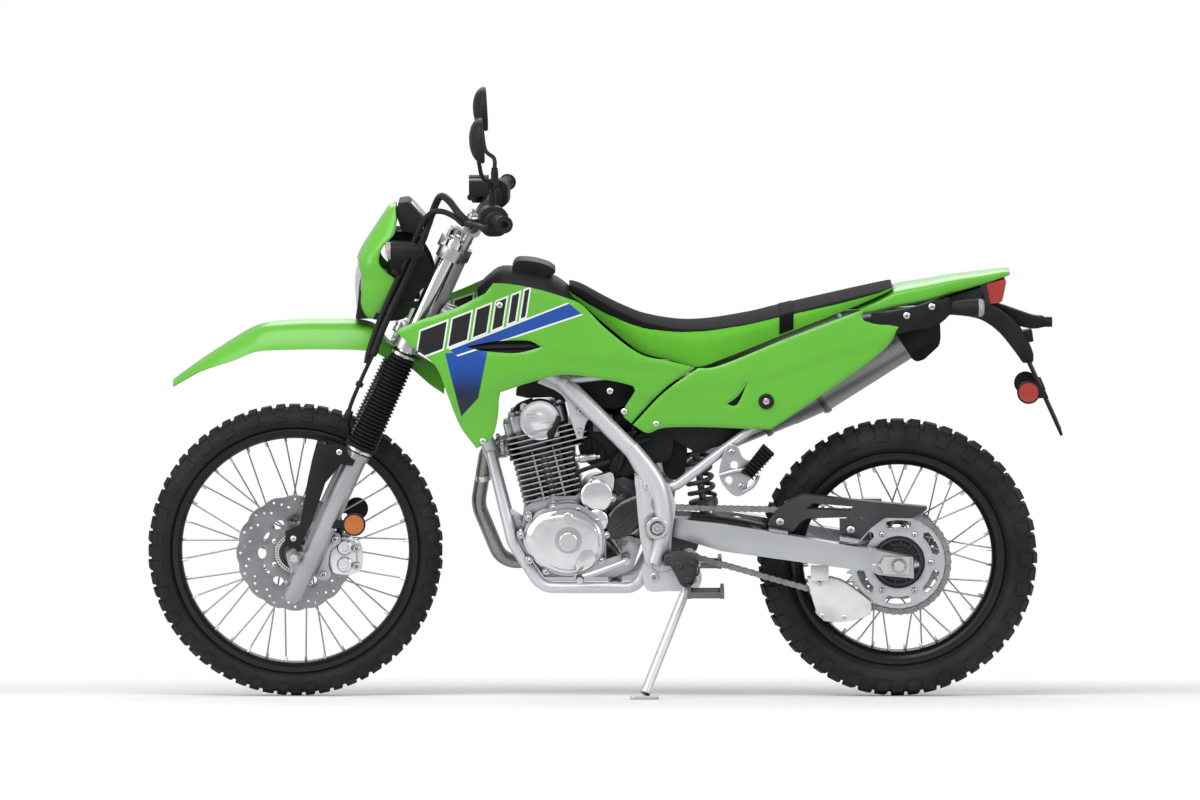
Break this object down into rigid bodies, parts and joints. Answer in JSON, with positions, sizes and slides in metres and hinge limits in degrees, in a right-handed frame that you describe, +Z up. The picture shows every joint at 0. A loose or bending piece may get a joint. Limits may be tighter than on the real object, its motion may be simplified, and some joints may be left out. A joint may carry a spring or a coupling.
{
  "type": "dual sport motorcycle",
  "caption": "Light road and trail motorcycle with wire wheels, knobbly tyres, long fork, high mudguard and slim seat, parked leaning on its side stand.",
  "frame": {"origin": "middle of the bottom of the box round the parked machine, on the ground", "axes": "+X forward along the wheels' line, +Y to the rider's left, +Z up from the ground; the machine leans about 8 degrees towards +Y on its side stand"},
  "size_m": [2.072, 0.817, 1.3901],
  "materials": {
    "tyre_rubber": "moulded black rubber",
    "rim_black": "satin black anodised",
    "hub_alloy": "cast, bead-blasted",
    "spoke_steel": "zinc plated wire",
    "disc_steel": "ground stainless",
    "sprocket_steel": "machined",
    "chain_steel": "oiled steel",
    "fork_alloy": "clear anodised",
    "fork_chrome": "hard chrome",
    "clamp_alloy": "satin cast",
    "gaiter_rubber": "soft ribbed rubber",
    "frame_silver": "satin silver paint",
    "arm_alloy": "brushed, clear coated",
    "engine_alloy": "cast, silver grey paint",
    "header_steel": "stainless, lightly tinted",
    "muffler_steel": "brushed stainless",
    "body_green": "gloss moulded green",
    "seat_cover": "grained vinyl, black top and green sides",
    "black_plastic": "fine grained black",
    "black_metal": "satin black paint",
    "grip_rubber": "ribbed rubber",
    "clear_lens": "clear polycarbonate",
    "red_lens": "red acrylic",
    "orange_lens": "orange reflector",
    "guide_white": "milky nylon",
    "spring_white": "powder coated spring",
    "stand_steel": "satin silver paint"
  },
  "bodies": {
    "frame": {"airbox": "black_plastic", "brake_pedal": "stand_steel", "chain": "chain_steel", "chain_guard": "black_plastic", "chain_guide": "guide_white", "crankcase": "engine_alloy", "cylinder": "engine_alloy", "exhaust_pipe": "header_steel", "foot_rests": "stand_steel", "fuel_tank": "black_plastic", "main_frame": "frame_silver", "muffler": "muffler_steel", "pivot_bolt": "spoke_steel", "rear_axle": "spoke_steel", "rear_caliper": "hub_alloy", "rear_fender": "black_plastic", "rear_reflectors": "red_lens", "rear_shock": "spring_white", "rear_signals": "black_plastic", "regulator": "black_metal", "seat": "seat_cover", "shift_pedal": "stand_steel", "side_panels": "body_green", "sprocket_cover": "black_plastic", "subframe": "frame_silver", "swingarm": "arm_alloy", "tail_cowl": "body_green", "tail_lamp": "red_lens", "tank_shrouds": "body_green"},
    "front_wheel": {"front_tyre": "tyre_rubber", "front_rim": "rim_black", "front_hub": "hub_alloy", "front_spokes": "spoke_steel", "front_disc": "disc_steel"},
    "rear_wheel": {"rear_tyre": "tyre_rubber", "rear_rim": "rim_black", "rear_hub": "hub_alloy", "rear_spokes": "spoke_steel", "rear_disc": "disc_steel", "rear_sprocket": "sprocket_steel"},
    "steering": {"fork_legs": "fork_alloy", "fork_tubes": "fork_chrome", "fork_gaiters": "gaiter_rubber", "triple_clamps": "clamp_alloy", "front_axle": "spoke_steel", "handlebar": "black_metal", "grips": "grip_rubber", "hand_controls": "black_plastic", "mirrors": "black_plastic", "front_fender": "body_green", "headlight_cowl": "body_green", "headlight": "clear_lens", "instrument": "black_plastic", "front_signals": "black_plastic", "front_reflectors": "orange_lens", "fork_guards": "black_plastic", "front_caliper": "hub_alloy", "front_hose": "gaiter_rubber"},
    "side_stand": {"side_stand": "stand_steel"}
  },
  "joints": [
    {"name": "steering", "type": "hinge", "parent": "frame", "child": "steering", "pos_m": [0.38078, -0.02961, 0.90092], "axis": [-0.4161, 0.1265, 0.9004], "range_deg": [-45, 45]},
    {"name": "front_wheel_spin", "type": "hinge", "parent": "steering", "child": "front_wheel", "pos_m": [0.70098, -0.10953, 0.33222], "axis": [0, 0.9903, -0.1392], "continuous": true},
    {"name": "rear_wheel_spin", "type": "hinge", "parent": "frame", "child": "rear_wheel", "pos_m": [-0.66402, -0.11189, 0.31559], "axis": [0, 0.9903, -0.1392], "continuous": true},
    {"name": "side_stand_swing", "type": "hinge", "parent": "frame", "child": "side_stand", "pos_m": [-0.19403, 0.01916, 0.27084], "axis": [0.0508, 0.9191, 0.3908], "range_deg": [0, 108]}
  ]
}
